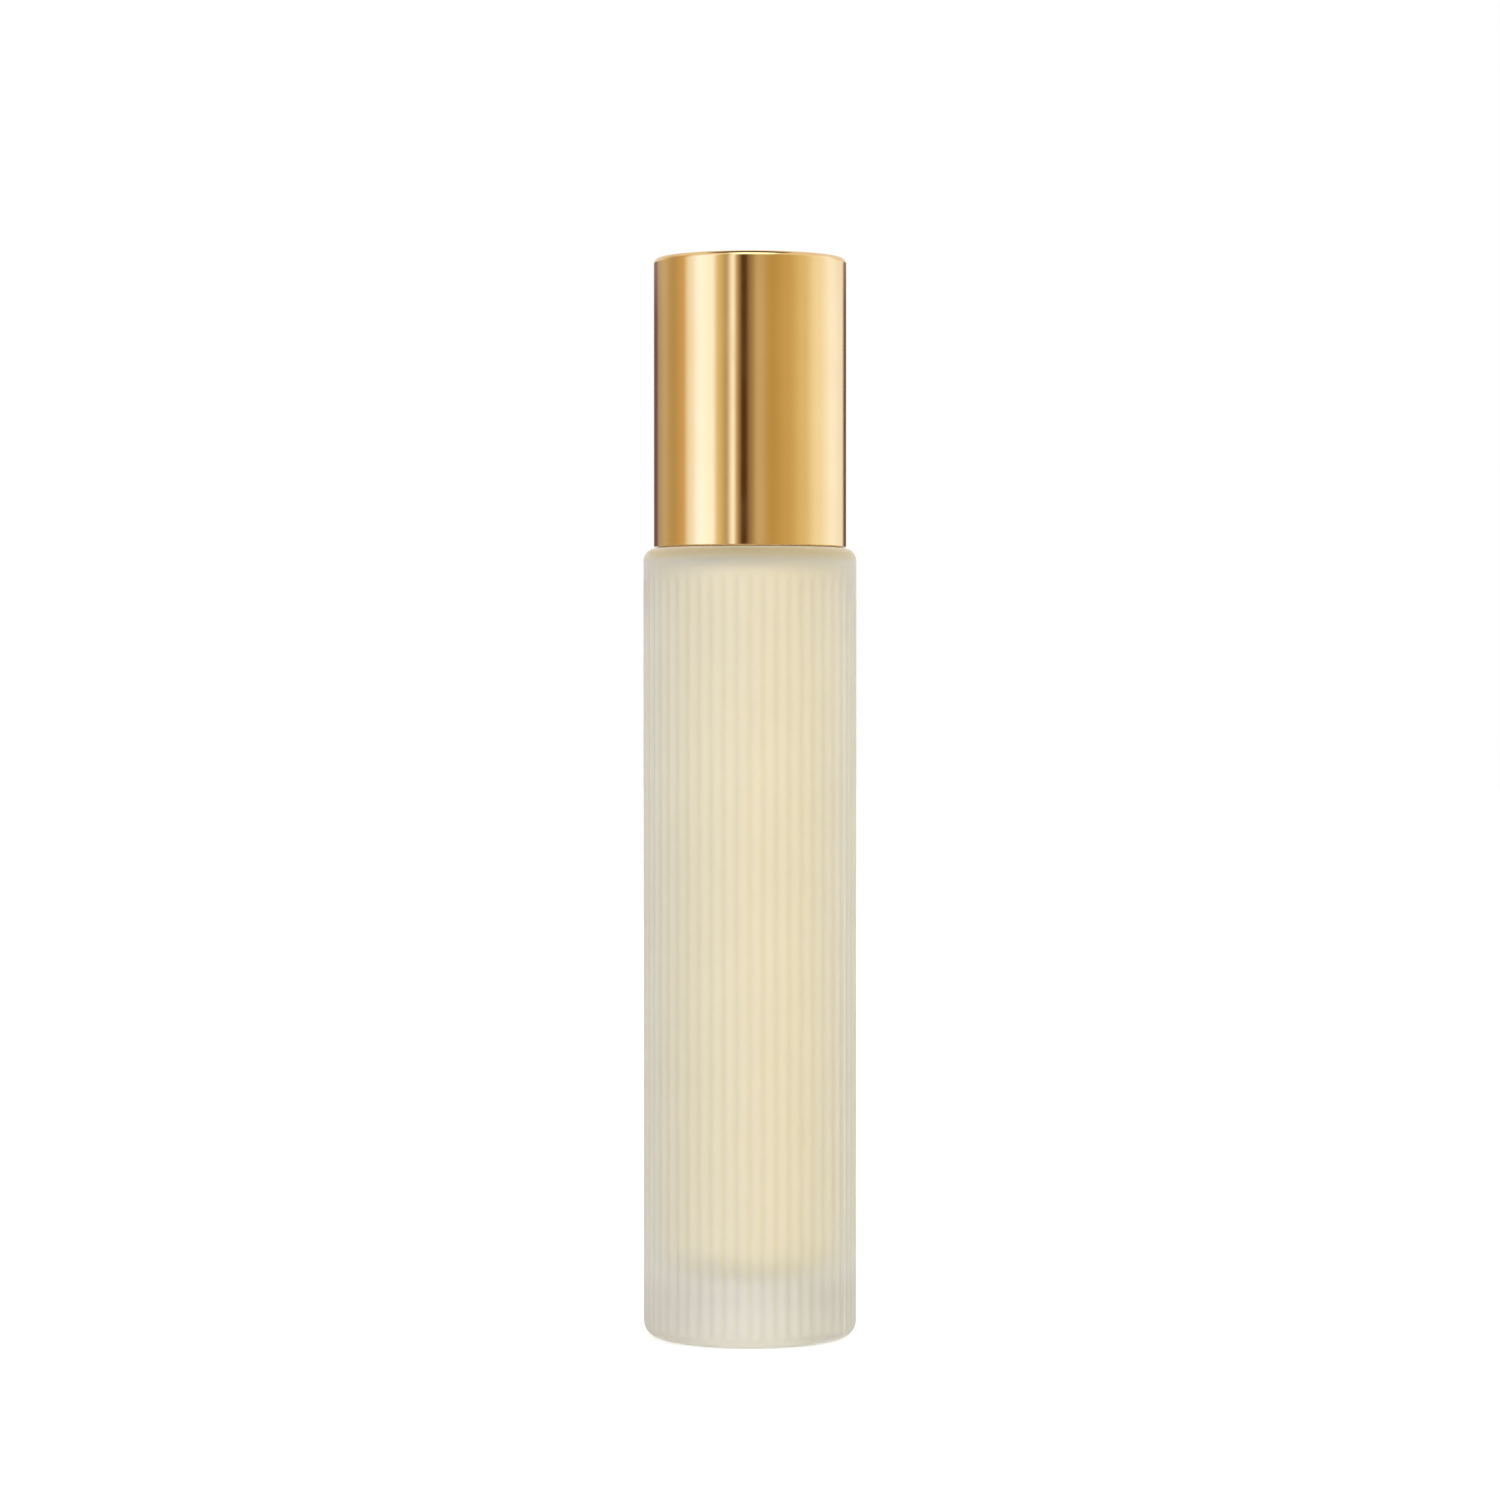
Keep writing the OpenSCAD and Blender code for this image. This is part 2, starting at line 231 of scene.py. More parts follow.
def rod(r, start, end, sides=48):
    """A cylinder to cut with, from start to end, in mm."""
    start = Vector(start) * MM
    end = Vector(end) * MM
    along = end - start
    bm = bmesh.new()
    bmesh.ops.create_cone(
        bm, cap_ends=True, segments=sides, radius1=r * MM, radius2=r * MM, depth=along.length)
    bm.transform(along.to_track_quat("Z", "Y").to_matrix().to_4x4())
    bmesh.ops.translate(bm, verts=bm.verts, vec=(start + end) / 2)
    return cutter(bm)


def block(lowest, highest):
    """A box to cut with, between two corners in mm."""
    lowest, highest = Vector(lowest) * MM, Vector(highest) * MM
    bm = bmesh.new()
    bmesh.ops.create_cube(bm, size=1)
    bmesh.ops.scale(bm, verts=bm.verts, vec=highest - lowest)
    bmesh.ops.translate(bm, verts=bm.verts, vec=(highest + lowest) / 2)
    return cutter(bm)


def smooth(t):
    """Smooth step from 0 to 1."""
    t = max(0.0, min(1.0, t))
    return t * t * (3 - 2 * t)


def on_wall(wall_r, a, b):
    """Whether both ends of a stretch of outline lie on the wall of that radius."""
    return abs(a.x - wall_r) < 0.01 and abs(b.x - wall_r) < 0.01


def densify(outline, step):
    """Adds points on the long straight stretches of an outline. step(a, b) is the longest gap there."""
    dense = []
    for (a, na), (b, _) in zip(outline, outline[1:]):
        dense.append((a, na))
        parts = max(1, math.ceil((b - a).length / step(a, b)))
        for k in range(1, parts):
            dense.append((a.lerp(b, k / parts), na))
    dense.append(outline[-1])
    return dense


# ---------------------------------------------------------------- materials

NOISE_LOW, NOISE_HIGH = 0.3, 0.7     # most of a noise pattern lies between these


def shader(name, **inputs):
    """A new Principled material, with constants set on its own sockets."""
    material = bpy.data.materials.new(name)
    material.use_nodes = True
    bsdf = material.node_tree.nodes["Principled BSDF"]
    for key, value in inputs.items():
        bsdf.inputs[key.replace("_", " ")].default_value = value
    return material, material.node_tree, bsdf


def grain(tree, scale, detail=3.0, stretch=(1, 1, 1)):
    """A noise pattern in the object's own metres. scale is in features per metre."""
    place = tree.nodes.new("ShaderNodeTexCoord")
    mapping = tree.nodes.new("ShaderNodeMapping")
    mapping.inputs["Scale"].default_value = stretch
    noise = tree.nodes.new("ShaderNodeTexNoise")
    noise.inputs["Scale"].default_value = scale
    noise.inputs["Detail"].default_value = detail
    tree.links.new(place.outputs["Object"], mapping.inputs["Vector"])
    tree.links.new(mapping.outputs["Vector"], noise.inputs["Vector"])
    return noise.outputs["Fac"]


def between(tree, factor, dark, light):
    """A colour that runs from dark to light with a pattern."""
    ramp = tree.nodes.new("ShaderNodeValToRGB")
    ramp.color_ramp.elements[0].position = NOISE_LOW
    ramp.color_ramp.elements[1].position = NOISE_HIGH
    ramp.color_ramp.elements[0].color = (*dark, 1)
    ramp.color_ramp.elements[1].color = (*light, 1)
    tree.links.new(factor, ramp.inputs["Fac"])
    return ramp.outputs["Color"]


def level(tree, factor, least, most):
    """A number that runs from least to most with a pattern."""
    node = tree.nodes.new("ShaderNodeMapRange")
    node.inputs["From Min"].default_value = NOISE_LOW
    node.inputs["From Max"].default_value = NOISE_HIGH
    node.inputs["To Min"].default_value = least
    node.inputs["To Max"].default_value = most
    tree.links.new(factor, node.inputs["Value"])
    return node.outputs["Result"]


def ease(tree, value, start, finish):
    """A share that eases from 0 where value is start to 1 where it is finish."""
    node = tree.nodes.new("ShaderNodeMapRange")
    node.interpolation_type = "SMOOTHSTEP"
    node.inputs["From Min"].default_value = start
    node.inputs["From Max"].default_value = finish
    tree.links.new(value, node.inputs["Value"])
    return node.outputs["Result"]


def blended(tree, colour, share, other, how="MIX"):
    """A colour with a share of another, which is the same everywhere, mixed in or multiplied in."""
    node = tree.nodes.new("ShaderNodeMix")
    node.data_type = "RGBA"
    node.blend_type = how
    coloured = [socket for socket in node.inputs if socket.type == "RGBA"]
    tree.links.new(share, node.inputs[0])
    tree.links.new(colour, coloured[0])
    coloured[1].default_value = (*other, 1)
    return [socket for socket in node.outputs if socket.type == "RGBA"][0]


def bumps(tree, bsdf, height, strength, depth):
    """Relief of a pattern, depth in mm."""
    bump = tree.nodes.new("ShaderNodeBump")
    bump.inputs["Strength"].default_value = strength
    bump.inputs["Distance"].default_value = depth * MM
    tree.links.new(height, bump.inputs["Height"])
    tree.links.new(bump.outputs["Normal"], bsdf.inputs["Normal"])


def tint(tree, colour, measure, start, finish, shade):
    """A colour multiplied by a shade: not at all where the measure is start, fully where it is finish.

    start and finish are in mm, and the measure is a socket in metres.
    """
    return blended(tree, colour, ease(tree, measure, start * MM, finish * MM), shade, "MULTIPLY")


def place_in(tree):
    """Sockets with a point's distance from the Z axis and its height, in metres."""
    place = tree.nodes.new("ShaderNodeTexCoord")
    split = tree.nodes.new("ShaderNodeSeparateXYZ")
    tree.links.new(place.outputs["Object"], split.inputs["Vector"])
    flat = tree.nodes.new("ShaderNodeVectorMath")
    flat.operation = "MULTIPLY"
    flat.inputs[1].default_value = (1, 1, 0)
    tree.links.new(place.outputs["Object"], flat.inputs[0])
    reach = tree.nodes.new("ShaderNodeVectorMath")
    reach.operation = "LENGTH"
    tree.links.new(flat.outputs["Vector"], reach.inputs[0])
    return reach.outputs["Value"], split.outputs["Z"]


def frosted_glass():
    """Etched glass: painted shade darkens the grooves, a painted golden reflection tints it under the cap,
    and it is somewhat darker in the solid base.
    """
    material, tree, bsdf = shader(
        "frosted_glass", Transmission_Weight=0.7, IOR=1.5,
        Sheen_Weight=1.0, Sheen_Roughness=0.35, Sheen_Tint=(1.0, 0.96, 0.88, 1))
    cloud = grain(tree, 120)
    reach, height = place_in(tree)
    colour = between(tree, cloud, (0.95, 0.935, 0.85), (0.97, 0.958, 0.88))
    # painted shade: the glass's colour is darkened in the grooves between the ribs, where less light
    # reaches
    colour = tint(tree, colour, reach, BODY_R, BODY_R - RIB_DEPTH, (0.91, 0.905, 0.88))
    # painted reflection: the glass is tinted gold just under the shoulder, standing in for the gold cap and
    # collar mirrored there
    colour = tint(tree, colour, height, SHOULDER_Z - 2.2, SHOULDER_Z - 1, (0.95, 0.83, 0.60))
    colour = tint(tree, colour, height, FLOOR_Z + 2, FLOOR_Z - 3, (0.87, 0.865, 0.87))
    tree.links.new(colour, bsdf.inputs["Base Color"])
    tree.links.new(level(tree, cloud, 0.56, 0.62), bsdf.inputs["Roughness"])
    bumps(tree, bsdf, grain(tree, 9000, 2), 0.25, 0.01)
    return material


def foundation():
    """Ivory liquid with faint upright swirls."""
    material, tree, bsdf = shader("foundation")
    swirl = grain(tree, 60, 4, (1, 1, 0.35))
    tree.links.new(between(tree, swirl, (0.87, 0.75, 0.485), (0.91, 0.80, 0.54)), bsdf.inputs["Base Color"])
    tree.links.new(level(tree, swirl, 0.4, 0.5), bsdf.inputs["Roughness"])
    bumps(tree, bsdf, grain(tree, 300, 2), 0.1, 0.02)
    return material


def polished_gold(name, smoothest, roughest):
    """Gold film whose gloss varies a little from place to place."""
    material, tree, bsdf = shader(name, Metallic=1.0)
    film = grain(tree, 90, 2)
    tree.links.new(between(tree, film, (0.885, 0.605, 0.28), (0.91, 0.63, 0.30)), bsdf.inputs["Base Color"])
    tree.links.new(level(tree, grain(tree, 260, 3), smoothest, roughest), bsdf.inputs["Roughness"])
    bumps(tree, bsdf, grain(tree, 700, 3, (1, 1, 0.25)), 0.02, 0.01)
    return material


def moulded_plastic(name, dark, light, smoothest):
    """Plastic with a fine moulded grain, or a foam if it is rough."""
    material, tree, bsdf = shader(name, IOR=1.49)
    cloud = grain(tree, 200)
    tree.links.new(between(tree, cloud, dark, light), bsdf.inputs["Base Color"])
    tree.links.new(level(tree, cloud, smoothest, smoothest + 0.1), bsdf.inputs["Roughness"])
    bumps(tree, bsdf, grain(tree, 5000, 2), 0.2, 0.01)
    return material


def stainless():
    """Drawn or ground steel."""
    material, tree, bsdf = shader("stainless", Metallic=1.0)
    drawn = grain(tree, 900, 3)
    tree.links.new(between(tree, drawn, (0.58, 0.59, 0.60), (0.68, 0.69, 0.70)), bsdf.inputs["Base Color"])
    tree.links.new(level(tree, drawn, 0.16, 0.26), bsdf.inputs["Roughness"])
    bumps(tree, bsdf, grain(tree, 6000, 2), 0.1, 0.005)
    return material


GLASS = frosted_glass()
FLUID = foundation()
GOLD = polished_gold("polished_gold", 0.09, 0.13)
GOLD_PLASTIC = polished_gold("plated_plastic", 0.13, 0.18)
STEEL = stainless()
PUMP_PLASTIC = moulded_plastic("pump_plastic", (0.74, 0.74, 0.71), (0.79, 0.79, 0.77), 0.35)
TUBE_PLASTIC = moulded_plastic("tube_plastic", (0.75, 0.77, 0.74), (0.82, 0.83, 0.81), 0.25)
SEAL_PLASTIC = moulded_plastic("seal_plastic", (0.58, 0.66, 0.70), (0.66, 0.73, 0.76), 0.3)
FOAM = moulded_plastic("gasket_foam", (0.76, 0.76, 0.73), (0.86, 0.86, 0.83), 0.7)


# ---------------------------------------------------------------- bottle and contents

def rib_depth(angle):
    """Depth of the surface below the ribs' crests, which are round. The grooves have a softened bottom."""
    off = 2 * abs((angle * RIBS / TURN + 0.5) % 1 - 0.5)
    crest = off ** 2
    wave = (1 - math.cos(math.pi * off)) / 2
    return RIB_DEPTH * (crest + wave) / 2


def thread_height(angle, z, start, low_z, turns):
    """How much of a thread's full height there is at a point: 0 off the thread, 1 on its crest."""
    fade = 0.1             # part of a turn over which each end of the thread runs out
    best = 0.0
    for k in range(-1, 3):
        along = (angle - start) / TURN + k
        if 0 <= along <= turns:
            off = abs(z - (low_z + THREAD_PITCH * along))
            ends = smooth(min(along, turns - along) / fade)
            best = max(best, ends * smooth((THREAD_HALF - off) / THREAD_FLANK))
    return best


def bottle_wall(angle, r, z):
    """Radius of the bottle's surface: ribs that run out at both ends of the body, thread on the neck."""
    if r > BODY_R - 3 and z < SHOULDER_Z:
        foot = smooth((z - RIB_LOW) / 2)
        top = smooth((RIB_HIGH - z) / 3)
        return r - rib_depth(angle) * top * foot
    if abs(r - NECK_R) < 0.01:
        return r + (THREAD_R - NECK_R) * thread_height(angle, z, 0, THREAD_LOW, THREAD_TURNS)
    return r


def glass_step(a, b):
    """Distance between rings: fine on the thread, coarser on the ribs."""
    if on_wall(NECK_R, a, b):
        return 0.22
    if a.x > BODY_R - 0.1 and b.x > BODY_R - 0.1:
        return 1.2
    return 4


def make_bottle():
    """One outline from the hollow under the base, up the outside, over the rim and down the inside."""
    pushup_r, pushup_z = 9, 0.6
    heel, shoulder = 2.2, 1.8
    inside_top = FILL_Z + 0.02
    outline = densify(rounded([
        (0, pushup_z, 0), (pushup_r * 0.5, pushup_z * 0.75, 5), (pushup_r, 0, 1.5),
        (BODY_R, 0, heel), (BODY_R, SHOULDER_Z, shoulder),
        (NECK_R, SHOULDER_Z, 0.3), (NECK_R, RIM_Z, 0.35), (NECK_BORE_R, RIM_Z, 0.35),
        (NECK_BORE_R, inside_top, 0.4), (BORE_R, inside_top, 3), (BORE_R, FLOOR_Z, 4.5), (0, FLOOR_Z, 0),
    ], steps=10), glass_step)
    glass = lathe(outline, RIBS * 10, shape=bottle_wall)
    piece("bottle", glass, "bottle", "glass_bottle", GLASS)


def make_fluid():
    """The liquid reaches a hair into the glass, so that light passes from one to the other."""
    wet = 0.05
    level_z = FILL_Z - 0.2
    tube_r = radius("dip_tube") + FIT
    socket_r = SOCKET_R + FIT
    chamber_r = TUBE_R + FIT
    step_z = low("pump_housing") - FIT
    shoulder_z = step_z + SOCKET_LENGTH
    turned("liquid", [
        (0, FLOOR_Z - wet, 0), (BORE_R + wet, FLOOR_Z - wet, 4.5), (BORE_R + wet, FILL_Z + wet, 3),
        (7, FILL_Z + wet, 0.5), (NECK_BORE_R, level_z, 0.2), (chamber_r, level_z, 0.2),
        (chamber_r, shoulder_z, 0.1), (socket_r, shoulder_z, 0.1), (socket_r, step_z, 0.1),
        (tube_r, step_z, 0.1), (tube_r, low("dip_tube"), 0.1), (0, low("dip_tube"), 0),
    ], "bottle", "foundation_fluid", FLUID, 128)


# ---------------------------------------------------------------- over-cap

def make_overcap():
    """The gold shell, and the liner with eight upright ribs that grip the collar."""
    foot, top, r = low("overcap_shell"), high("overcap_shell"), radius("overcap_shell")
    wall = 0.55
    turned("cap_shell", [
        (0, top - wall, 0), (r - wall, top - wall, 0.3), (r - wall, foot, 0.15), (r, foot, 0.18),
        (r, top, 0.75), (0, top, 0),
    ], "cap", "overcap_shell", GOLD, 256)
    foot, top, r = low("overcap_liner"), high("overcap_liner"), radius("overcap_liner")
    inner, ceiling = r - 0.9, top - 0.8
    ribs, rib_half = 8, 0.55
    grip_low, grip_high = low("screw_collar") + 0.8, low("screw_collar") + 11.8
    rib_height = inner - radius("collar_shell") - FIT

    def grip(angle, wall_r, z):
        """Radius of the liner, with a rib every eighth of a turn on its inner wall."""
        if abs(wall_r - inner) > 0.01:
            return wall_r
        across = abs(((angle * ribs / TURN + 0.5) % 1) - 0.5) * TURN / ribs * inner
        ends = smooth((z - grip_low) / 0.5) * smooth((grip_high - z) / 0.5)
        return wall_r - rib_height * ends * smooth((rib_half - across) / 0.25)

    outline = densify(rounded([
        (0, ceiling, 0), (inner, ceiling, 0.6), (inner, foot, 0.15),
        (r, foot, 0.15), (r, top, 0.3), (0, top, 0),
    ]), lambda a, b: 0.5 if on_wall(inner, a, b) else 5)
    liner = lathe(outline, 360, shape=grip)
    piece("cap_liner", liner, "cap", "overcap_liner", PUMP_PLASTIC)


# ---------------------------------------------------------------- collar

def make_collar():
    """The gold skin, and the threaded collar under it."""
    foot, top, r = low("collar_shell"), high("collar_shell"), radius("collar_shell")
    hole_r = radius("stem_guide") + 0.6
    wall = 0.5
    turned("collar_skin", [
        (r - wall, foot, 0.1), (r, foot, 0.2), (r, top, 0.8), (hole_r, top, 0.12),
        (hole_r, top - wall, 0.12), (r - wall, top - wall, 0.2),
    ], "collar", "collar_shell", GOLD, 192, closed=True)
    foot, top, r = low("screw_collar"), high("screw_collar"), radius("screw_collar")
    web, inner, hole_r = top - 1.4, 10.1, radius("stem_guide") + 0.2
    crest = NECK_R + 0.3
    start, thread_low = TURN / 4, THREAD_LOW - THREAD_PITCH / 4

    def thread(angle, wall_r, z):
        """Radius of the collar, with a thread on its inner wall that fits under the neck's."""
        if abs(wall_r - inner) > 0.01:
            return wall_r
        return wall_r - (inner - crest) * thread_height(angle, z, start, thread_low, 1)

    corners = [
        (inner, foot, 0.2), (r, foot, 0.2), (r, top, 0.3),
        (hole_r, top, 0.15), (hole_r, web, 0.15), (inner, web, 0.3),
    ]
    outline = densify(rounded(corners, closed=True), lambda a, b: 0.25 if on_wall(inner, a, b) else 5)
    outline.append((outline[-1][0].lerp(outline[0][0], 0.5), outline[-1][1]))
    piece("collar_thread", lathe(outline, 192, closed=True, shape=thread), "collar", "screw_collar",
          PUMP_PLASTIC)


# ---------------------------------------------------------------- pump

PRESS = 0.03               # gap round a piece that is pushed on tight
SLIDE = 0.04               # gap round a piece that slides in a bore
FLANGE_Z = high("neck_gasket")
FLANGE_TOP = FLANGE_Z + 1.4
FLANGE_R = radius("neck_gasket")
WEB_TOP = high("screw_collar")
CHIMNEY_R = radius("stem_guide")
CHAMBER_R = 4.3
GUIDE_BORE_R = CHAMBER_R + 1
CAGE_Z = low("ball_cage")
DIP_TOP = high("dip_tube")
STEM_R = 2.2


def make_gasket():
    """A flat foam ring between the rim of the neck and the pump's flange."""
    foot, bore = low("neck_gasket"), TUBE_R + 0.1
    turned("gasket", [
        (bore, foot, 0.2), (FLANGE_R, foot, 0.2), (FLANGE_R, FLANGE_Z, 0.2), (bore, FLANGE_Z, 0.2),
    ], "pump", "neck_gasket", FOAM, 128, closed=True)


def make_housing():
    """Socket, chamber, flange and chimney in one moulding, with the air vent drilled through its side."""
    foot, top = low("pump_housing"), high("pump_housing")
    floor_low = CAGE_Z - 3
    bead_z = WEB_TOP + FIT
    bead_top = bead_z + 0.55
    bead_r = CHIMNEY_R + 0.3
    channel_r, well_r, socket_bore_r = 0.9, 2.1, 2
    seat_apex = CAGE_Z - 4.7
    obj = turned("housing", [
        (socket_bore_r, foot, 0.2), (SOCKET_R, foot, 0.25), (SOCKET_R, floor_low, 0.3),
        (TUBE_R, floor_low, 0.5), (TUBE_R, FLANGE_Z, 0.1), (FLANGE_R, FLANGE_Z, 0.2),
        (FLANGE_R, FLANGE_TOP, 0.25), (CHIMNEY_R, FLANGE_TOP, 0.05), (CHIMNEY_R, bead_z, 0.05),
        (bead_r, bead_z, 0.12), (bead_r, bead_top, 0.25), (CHIMNEY_R, bead_top, 0.1),
        (CHIMNEY_R, top, 0.15), (GUIDE_BORE_R, top, 0.2), (GUIDE_BORE_R, WEB_TOP, 0.1),
        (CHAMBER_R, WEB_TOP, 0.2), (CHAMBER_R, CAGE_Z, 0.1), (well_r, CAGE_Z, 0.15),
        (well_r, seat_apex + well_r, 0.1), (channel_r, seat_apex + channel_r, 0.1),
        (channel_r, DIP_TOP, 0.1), (socket_bore_r, DIP_TOP, 0.1),
    ], "pump", "pump_housing", PUMP_PLASTIC, 128, closed=True)
    vent_r, vent_z = 0.4, RIM_Z - 2
    carve(obj, rod(vent_r, (0, 0, vent_z), (TUBE_R + 1, 0, vent_z)))


def make_dip_tube():
    """Its foot is cut on a slant, so that it can't seal on the glass."""
    foot, r, bore = low("dip_tube"), radius("dip_tube"), 1.4
    slant = math.tan(math.radians(35))
    corners = [(bore, foot, 0.08), (r, foot, 0.1), (r, DIP_TOP, 0.1), (bore, DIP_TOP, 0.08)]
    bm = lathe(rounded(corners, closed=True), 64, closed=True)
    for vert in bm.verts:
        if vert.co.z < (foot + 0.5) * MM:
            vert.co.z += max(0.0, -vert.co.x * slant)
    obj = piece("suction_tube", bm, "pump", "dip_tube", TUBE_PLASTIC)
    obj.data.set_sharp_from_angle(angle=SHARP)


def make_ball(name, node, body):
    """A steel check ball."""
    lowest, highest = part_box(node)
    bm = bmesh.new()
    bmesh.ops.create_icosphere(bm, subdivisions=4, radius=(highest[2] - lowest[2]) / 2)
    bmesh.ops.translate(bm, verts=bm.verts, vec=(0, 0, (highest[2] + lowest[2]) / 2))
    piece(name, bm, body, node, STEEL)


def make_cage():
    """A disc with four holes over the inlet ball, and a ring on it that centres the spring."""
    top, r = high("ball_cage"), radius("ball_cage")
    ring_r, ring_bore_r, disc_top = 2.6, 2, top - 1
    obj = turned("valve_cage", [
        (0, CAGE_Z, 0), (r, CAGE_Z, 0.15), (r, disc_top, 0.15), (ring_r, disc_top, 0.15),
        (ring_r, top, 0.2), (ring_bore_r, top, 0.2), (ring_bore_r, disc_top, 0.1), (0, disc_top, 0),
    ], "pump", "ball_cage", PUMP_PLASTIC)
    hole_r, circle_r = 0.45, 1.45
    holes = []
    for i in range(4):
        angle = math.radians(45 + 90 * i)
        x, y = circle_r * math.cos(angle), circle_r * math.sin(angle)
        holes.append(rod(hole_r, (x, y, CAGE_Z - 1), (x, y, top + 1), 32))
    carve(obj, *holes)


def make_spring():
    """A compression spring with one closed turn at each end."""
    wire_r, turns, sides, steps = 0.3, 8, 14, 44
    coil_r = radius("return_spring") - wire_r
    foot, top = low("return_spring"), high("return_spring")
    closed = 2 * wire_r + 0.04
    first, last = foot + wire_r, top - wire_r
    pitch = (last - first - 2 * closed) / (turns - 2)
    bm = bmesh.new()
    rings = []
    for i in range(turns * steps + 1):
        turn = i / steps
        z = first + closed + (turn - 1) * pitch
        if turn < 1:
            z = first + turn * closed
        elif turn > turns - 1:
            z = last - (turns - turn) * closed
        angle = TURN * turn
        ring = []
        for j in range(sides):
            side = TURN * j / sides
            reach = coil_r + wire_r * math.cos(side)
            spot = (reach * math.cos(angle), reach * math.sin(angle), z + wire_r * math.sin(side))
            ring.append(bm.verts.new(Vector(spot) * MM))
        rings.append(ring)
    for a, b in zip(rings, rings[1:]):
        for j in range(sides):
            k = (j + 1) % sides
            bm.faces.new((a[j], b[j], b[k], a[k]))
    bm.faces.new(rings[0])
    bm.faces.new(reversed(rings[-1]))
    bmesh.ops.recalc_face_normals(bm, faces=bm.faces)
    obj = piece("spring", bm, "pump", "return_spring", STEEL)
    obj.data.set_sharp_from_angle(angle=math.radians(50))
    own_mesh(obj)


def make_piston():
    """A seal with a lip at each end and a narrow waist."""
    foot, top, lip = low("piston"), high("piston"), radius("piston")
    bore, waist = STEM_R + PRESS, lip - 0.5
    turned("piston_seal", [
        (bore, foot, 0.1), (lip - 0.4, foot, 0.15), (lip, foot + 0.15, 0.15), (lip, foot + 0.7, 0.3),
        (waist, foot + 1.4, 0.6), (waist, top - 1.4, 0.6), (lip, top - 0.7, 0.3), (lip, top - 0.15, 0.15),
        (lip - 0.4, top, 0.15), (bore, top, 0.1),
    ], "plunger", "piston", SEAL_PLASTIC, 128, closed=True)


def make_stem():
    """A hollow rod: a foot under the piston, a ring over it, and a conical seat for the outlet ball."""
    foot, top = low("stem"), high("stem")
    foot_r, foot_top = 3.7, foot + 0.8
    ring_r, ring_z = STEM_R + 0.5, high("piston")
    ring_top = ring_z + 0.8
    bore, chamber_r = 0.8, 1.45
    ball_r = (high("outlet_ball") - low("outlet_ball")) / 2
    seat_gap = 0.02
    apex = low("outlet_ball") + ball_r - seat_gap - ball_r * math.sqrt(2)
    turned("plunger_stem", [
        (bore, foot, 0.15), (foot_r, foot, 0.15), (foot_r, foot_top, 0.2), (STEM_R, foot_top, 0.1),
        (STEM_R, ring_z, 0.05), (ring_r, ring_z, 0.1), (ring_r, ring_top, 0.25),
        (STEM_R, ring_top, 0.1), (STEM_R, top, 0.25), (chamber_r, top, 0.15),
        (chamber_r, apex + chamber_r, 0.1), (bore, apex + bore, 0.1),
    ], "plunger", "stem", PUMP_PLASTIC, closed=True)


def make_wiper():
    """A ring round the stem, with a foot that is chamfered inside and out."""
    foot, top, r = low("stem_wiper"), high("stem_wiper"), radius("stem_wiper")
    bore = STEM_R + SLIDE
    turned("wiper_ring", [
        (bore + 0.25, foot, 0.1), (r - 0.2, foot, 0.1), (r, foot + 0.2, 0.1), (r, top, 0.15),
        (bore, top, 0.15), (bore, foot + 0.3, 0.1),
    ], "pump", "stem_wiper", SEAL_PLASTIC, closed=True)


def make_guide():
    """A stepped bush in the chimney, whose flange rests on the chimney's top."""
    foot, top = low("stem_guide"), high("stem_guide")
    bore = STEM_R + SLIDE
    sleeve, socket = CHAMBER_R - FIT, GUIDE_BORE_R - FIT
    flange_low = top - 0.8
    turned("guide_bush", [
        (bore, foot, 0.2), (sleeve, foot, 0.25), (sleeve, WEB_TOP, 0.1), (socket, WEB_TOP, 0.25),
        (socket, flange_low, 0.05), (CHIMNEY_R, flange_low, 0.15), (CHIMNEY_R, top, 0.3), (bore, top, 0.35),
    ], "pump", "stem_guide", PUMP_PLASTIC, 128, closed=True)


# ---------------------------------------------------------------- pump head

HEAD_LOW = low("actuator_shell")
HEAD_TOP = high("actuator_shell")
HEAD_R = radius("actuator_shell")
HEAD_FLOOR = high("stem") - 3.6            # underside of the head's solid top
SKIN = 0.5                                 # wall of the head's gold skin
DISH_DEPTH = 0.9
DISH_EDGE = HEAD_R - 1.4                   # radius where the dish meets the head's flat rim
DISH_R = (DISH_EDGE ** 2 + DISH_DEPTH ** 2) / (2 * DISH_DEPTH)
NOZZLE_R = radius("nozzle")
NOZZLE_Z = (low("nozzle") + high("nozzle")) / 2
NOZZLE_BACK = -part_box("nozzle")[1][1] / MM
NOZZLE_TIP = -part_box("nozzle")[0][1] / MM


def dish(under, plane):
    """Corners of the dish at a depth under its surface, from the plane where it starts to the axis."""
    steps, rim_fillet, smoothing = 8, 0.25, 30
    ball = DISH_R + under
    middle = HEAD_TOP - DISH_DEPTH + DISH_R
    edge = math.sqrt(ball ** 2 - (middle - plane) ** 2)
    corners = []
    for k in range(steps + 1):
        r = edge * (1 - k / steps)
        corners.append((r, middle - math.sqrt(ball ** 2 - r ** 2), rim_fillet if k == 0 else smoothing))
    return corners


def forward_rod(r, start, end):
    """A cylinder at the nozzle's height that runs to the front, to cut with."""
    return rod(r, (0, -start, NOZZLE_Z), (0, -end, NOZZLE_Z))


